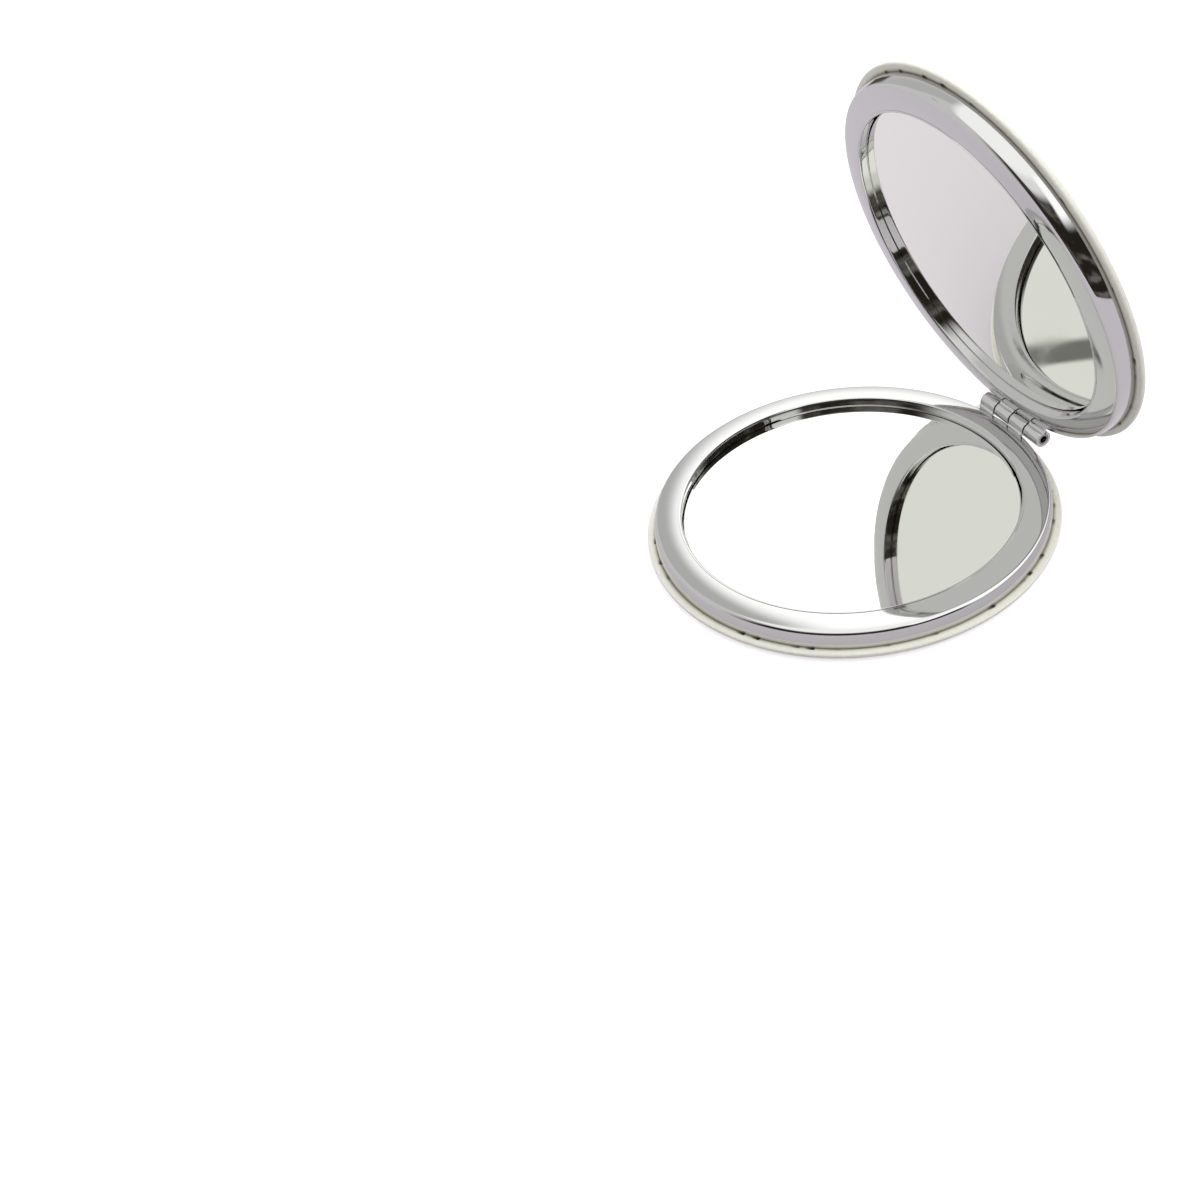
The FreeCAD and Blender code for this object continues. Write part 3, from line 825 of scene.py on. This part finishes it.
def knuckle_mesh(name):
    """One knuckle as a closed bar of the rolled section, at the far left of the hinge."""
    line = knuckle_outline()
    start = KNUCKLE_GAP / 2 - BARREL_HALF
    ends = (start, start + KNUCKLE_PITCH - KNUCKLE_GAP)
    work = bmesh.new()
    rows = [[work.verts.new((across, place.x, place.y)) for place in line] for across in ends]
    for number in range(len(line)):
        before = number - 1
        work.faces.new((rows[0][before], rows[0][number], rows[1][number], rows[1][before]))
    for row in rows:
        work.faces.new(row)
    bmesh.ops.recalc_face_normals(work, faces=work.faces)
    mesh = bpy.data.meshes.new(name)
    work.to_mesh(mesh)
    work.free()
    return mesh


def knuckle_tree():
    """A row of like knuckles along the hinge."""
    tree, given, output = new_tree("knuckle_row", (
        ("Count", "Int"), ("Step", "Float"), ("Material", "Material")))
    along = node(tree, "ShaderNodeCombineXYZ", {"X": given["Step"]}).outputs[0]
    line = node(tree, "GeometryNodeMeshLine", {"Count": given["Count"], "Offset": along}).outputs[0]
    row = node(tree, "GeometryNodeInstanceOnPoints", {
        "Points": line, "Instance": given["Geometry"]}).outputs[0]
    finish_tree(tree, row, given["Material"], output)
    return tree


class COMPACT_OT_frames(bpy.types.Operator):
    """Make the two chromed frames and the knuckles rolled from them"""
    bl_idname = "compact.frames"
    bl_label = "Chromed frames"

    def execute(self, context):
        settings = context.scene.compact_metal
        material = chrome_material(settings)
        tree = knuckle_tree()
        for side in ("base", "lid"):
            section = joined(frame_inside(), frame_outside())
            shell = new_piece(side + "_chromed_frame", turned_mesh(side + "_shell", section, settings.turns),
                              material)
            settle(shell, side, [side + "_frame"])
            row = new_piece(side + "_knuckles", knuckle_mesh(side + "_knuckle"), material)
            softened = row.modifiers.new("softened", "BEVEL")
            softened.width = EDGE_BREAK
            softened.segments = EDGE_BREAK_STEPS
            softened.limit_method = "ANGLE"
            run_tree(row, tree, {
                "Count": KNUCKLES_EACH, "Step": 2 * KNUCKLE_PITCH, "Material": material})
            tidy_mesh(row.data)
            settle(row, side, [side + "_frame"])
        return {"FINISHED"}


def dress(label, material):
    """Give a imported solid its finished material."""
    mesh = frame["nodes"][label].data
    mesh.materials.clear()
    mesh.materials.append(material)


class COMPACT_OT_mirrors(bpy.types.Operator):
    """Give the two mirror glasses their silvering"""
    bl_idname = "compact.mirrors"
    bl_label = "Mirror glasses"

    def execute(self, context):
        material = silvered_glass_material(context.scene.compact_metal)
        for side in ("base", "lid"):
            dress(side + "_mirror", material)
        return {"FINISHED"}


class COMPACT_OT_pin(bpy.types.Operator):
    """Give the hinge pin its finish"""
    bl_idname = "compact.pin"
    bl_label = "Hinge pin"

    def execute(self, context):
        dress("hinge_pin", pin_material(context.scene.compact_metal))
        return {"FINISHED"}


class COMPACT_OT_linings(bpy.types.Operator):
    """Give the foam, board and glue films inside each half their materials"""
    bl_idname = "compact.linings"
    bl_label = "Foam, board and glue films"

    def execute(self, context):
        # Open-cell foam: dull off-white with small pores
        foam = mottled_material("polyurethane_foam", "#D9D2BE", "#EFEADB", FOAM_PORE, 0.9)
        # Grey board from waste paper: dull grey with light fibres
        board = mottled_material("grey_paper_board", "#8E8A82", "#ABA79E", BOARD_FIBRE, 0.85)
        # Double-sided film: milky, half glossy
        film = mottled_material("acrylic_glue_film", "#DCDAD0", "#E8E6DE", FILM_MOTTLE, 0.4)
        for side in ("base", "lid"):
            dress(side + "_foam_pad", foam)
            dress(side + "_cover_board", board)
            dress(side + "_cover_tape", film)
            dress(side + "_mirror_tape", film)
        return {"FINISHED"}


def floor_material(settings):
    """Smooth pale board: lifted to white for the eye, a little lifted in its own colour for metal and
    glass, and with the part's shadow for both."""
    material, tree, output, _ = new_material("pale_studio_board")
    path = node(tree, "ShaderNodeLightPath").outputs
    plain = node(tree, "ShaderNodeBsdfDiffuse", {"Color": settings.floor_colour}).outputs[0]
    clear = node(tree, "ShaderNodeMath", {
        0: path["Is Glossy Ray"], 1: path["Is Transmission Ray"]}, operation="MAXIMUM").outputs[0]
    glow = node(tree, "ShaderNodeEmission", {
        "Color": settings.floor_colour, "Strength": FLOOR_GLOSS_LIFT}).outputs[0]
    white = node(tree, "ShaderNodeEmission", {"Color": linear(WHITE), "Strength": FLOOR_LIFT}).outputs[0]
    reflected = node(tree, "ShaderNodeAddShader", {0: plain, 1: glow}).outputs[0]
    seen = node(tree, "ShaderNodeAddShader", {0: plain, 1: white}).outputs[0]
    shown = node(tree, "ShaderNodeMixShader", {0: clear, 1: plain, 2: reflected}).outputs[0]
    final = node(tree, "ShaderNodeMixShader", {0: path["Is Camera Ray"], 1: shown, 2: seen}).outputs[0]
    tree.links.new(final, output.inputs[0])
    return material


def make_floor(settings):
    """A round floor just under the part."""
    mesh = bpy.data.meshes.new("floor")
    work = bmesh.new()
    bmesh.ops.create_circle(work, cap_ends=True, segments=FLOOR_SIDES, radius=FLOOR_RADIUS)
    bmesh.ops.translate(work, verts=work.verts, vec=(0, 0, -FLOOR_DROP))
    work.to_mesh(mesh)
    work.free()
    new_piece("floor", mesh, floor_material(settings))


def studio_level(tree, look, behind, rightward):
    """How bright the studio is in a direction: a dark room with pale things in it, and panels laid over."""
    back = node(tree, "ShaderNodeVectorMath", {0: look, 1: behind}, operation="DOT_PRODUCT").outputs["Value"]
    aside = node(tree, "ShaderNodeVectorMath", {
        0: look, 1: rightward}, operation="DOT_PRODUCT").outputs["Value"]
    turn = node(tree, "ShaderNodeMath", {0: aside, 1: back}, operation="ARCTAN2").outputs[0]
    height = node(tree, "ShaderNodeSeparateXYZ", {0: look}).outputs["Z"]
    rise = node(tree, "ShaderNodeMath", {0: height}, operation="ARCSINE").outputs[0]
    strewn = node(tree, "ShaderNodeVectorMath", {0: look, 1: DARK_PATTERN}, operation="MULTIPLY").outputs[0]
    noise = node(tree, "ShaderNodeTexNoise", {"Vector": strewn, "Scale": 1.0, "Detail": 3.0}).outputs[0]
    level = node(tree, "ShaderNodeMapRange", {
        "Value": noise, "From Min": PALE_SHARES[0], "From Max": PALE_SHARES[1],
        "To Min": DARK_LEVEL, "To Max": PALE_LEVEL}).outputs[0]
    for left, right, foot, head, slope, brightness in PANELS:
        lean = node(tree, "ShaderNodeMath", {0: turn, 1: slope}, operation="MULTIPLY").outputs[0]
        climb = node(tree, "ShaderNodeMath", {0: rise, 1: lean}, operation="ADD").outputs[0]
        share = 1.0
        for value, ends in ((turn, left), (turn, right), (climb, foot), (climb, head)):
            edge = node(tree, "ShaderNodeMapRange", {
                "Value": value, "From Min": math.radians(ends[0]), "From Max": math.radians(ends[1])},
                interpolation_type="SMOOTHSTEP").outputs[0]
            share = node(tree, "ShaderNodeMath", {0: share, 1: edge}, operation="MULTIPLY").outputs[0]
        level = node(tree, "ShaderNodeMix", {0: share, 2: level, 3: brightness}).outputs[0]
    return level


def make_world(towards):
    """The studio round the part, as metal and glass see it; the eye sees plain white."""
    world = bpy.data.worlds.new("studio")
    bpy.context.scene.world = world
    world.use_nodes = True
    tree = world.node_tree
    tree.nodes.clear()
    output = node(tree, "ShaderNodeOutputWorld")
    look = node(tree, "ShaderNodeTexCoord").outputs["Generated"]
    path = node(tree, "ShaderNodeLightPath").outputs
    behind = Vector((-towards.x, -towards.y, 0)).normalized()
    rightward = Vector((behind.y, -behind.x, 0))
    level = studio_level(tree, look, behind, rightward)
    clear = node(tree, "ShaderNodeMath", {
        0: level, 1: TINT_LOSS}, operation="MULTIPLY", use_clamp=True).outputs[0]
    tint = node(tree, "ShaderNodeMix", {
        0: clear, 6: linear(DARK_TINT), 7: linear(WHITE)}, data_type="RGBA").outputs[2]
    studio = node(tree, "ShaderNodeBackground", {"Color": tint, "Strength": level}).outputs[0]
    white = node(tree, "ShaderNodeBackground", {"Color": linear(WHITE), "Strength": 1.0}).outputs[0]
    seen = node(tree, "ShaderNodeMixShader", {0: path["Is Camera Ray"], 1: studio, 2: white}).outputs[0]
    tree.links.new(seen, output.inputs[0])


def make_camera(settings):
    """The camera at the photograph's viewing angle; gives the direction towards it."""
    flat = settings.distance * math.cos(settings.elevation)
    spot = Vector((flat * math.sin(settings.azimuth), -flat * math.cos(settings.azimuth),
                   settings.distance * math.sin(settings.elevation)))
    data = bpy.data.cameras.new("camera")
    data.sensor_width = SENSOR
    data.lens = settings.lens
    camera = bpy.data.objects.new("camera", data)
    bpy.context.scene.collection.objects.link(camera)
    look = (AIM - spot).to_track_quat("-Z", "Y").to_matrix().to_4x4()
    roll = Matrix.Rotation(math.radians(CAMERA_ROLL), 4, "Z")
    camera.matrix_world = Matrix.Translation(spot) @ look @ roll
    bpy.context.scene.camera = camera
    return spot.normalized()


def make_fill():
    """A large soft lamp on the camera's side that lights the leather and doesn't show in the metal."""
    data = bpy.data.lights.new("fill", "AREA")
    data.shape = "DISK"
    data.size = FILL_SIZE
    data.energy = FILL_POWER
    lamp = bpy.data.objects.new("fill", data)
    lamp.visible_glossy = False
    bpy.context.scene.collection.objects.link(lamp)
    facing = (-FILL_SPOT).to_track_quat("-Z", "Y").to_matrix().to_4x4()
    lamp.matrix_world = Matrix.Translation(FILL_SPOT) @ facing


class COMPACT_OT_stage(bpy.types.Operator):
    """Set the floor, the studio light and the camera"""
    bl_idname = "compact.stage"
    bl_label = "Stage"

    def execute(self, context):
        settings = context.scene.compact_stage
        context.scene.view_settings.view_transform = "Standard"
        towards = make_camera(settings)
        make_floor(settings)
        make_world(towards)
        make_fill()
        return {"FINISHED"}


class COMPACT_PT_panel(bpy.types.Panel):
    """Lists the steps that build the compact"""
    bl_label = "Compact Mirror"
    bl_space_type = "VIEW_3D"
    bl_region_type = "UI"
    bl_category = "Compact"

    def draw(self, context):
        for step in STEPS:
            self.layout.operator(step.bl_idname)


GROUPS = (("compact_covers", CompactCovers), ("compact_metal", CompactMetal),
          ("compact_stage", CompactStage))
STEPS = (COMPACT_OT_stage, COMPACT_OT_covers, COMPACT_OT_frames, COMPACT_OT_mirrors, COMPACT_OT_pin,
         COMPACT_OT_linings)


def register():
    """Register the settings, the steps and the panel."""
    for label, group in GROUPS:
        bpy.utils.register_class(group)
        setattr(bpy.types.Scene, label, bpy.props.PointerProperty(type=group))
    for step in (*STEPS, COMPACT_PT_panel):
        bpy.utils.register_class(step)


def unregister():
    """Undo register."""
    for step in (COMPACT_PT_panel, *reversed(STEPS)):
        bpy.utils.unregister_class(step)
    for label, group in reversed(GROUPS):
        delattr(bpy.types.Scene, label)
        bpy.utils.unregister_class(group)


def main():
    """Run every step in order."""
    register()
    bpy.ops.compact.stage()
    bpy.ops.compact.covers()
    bpy.ops.compact.frames()
    bpy.ops.compact.mirrors()
    bpy.ops.compact.pin()
    bpy.ops.compact.linings()


if __name__ == "__main__":
    main()
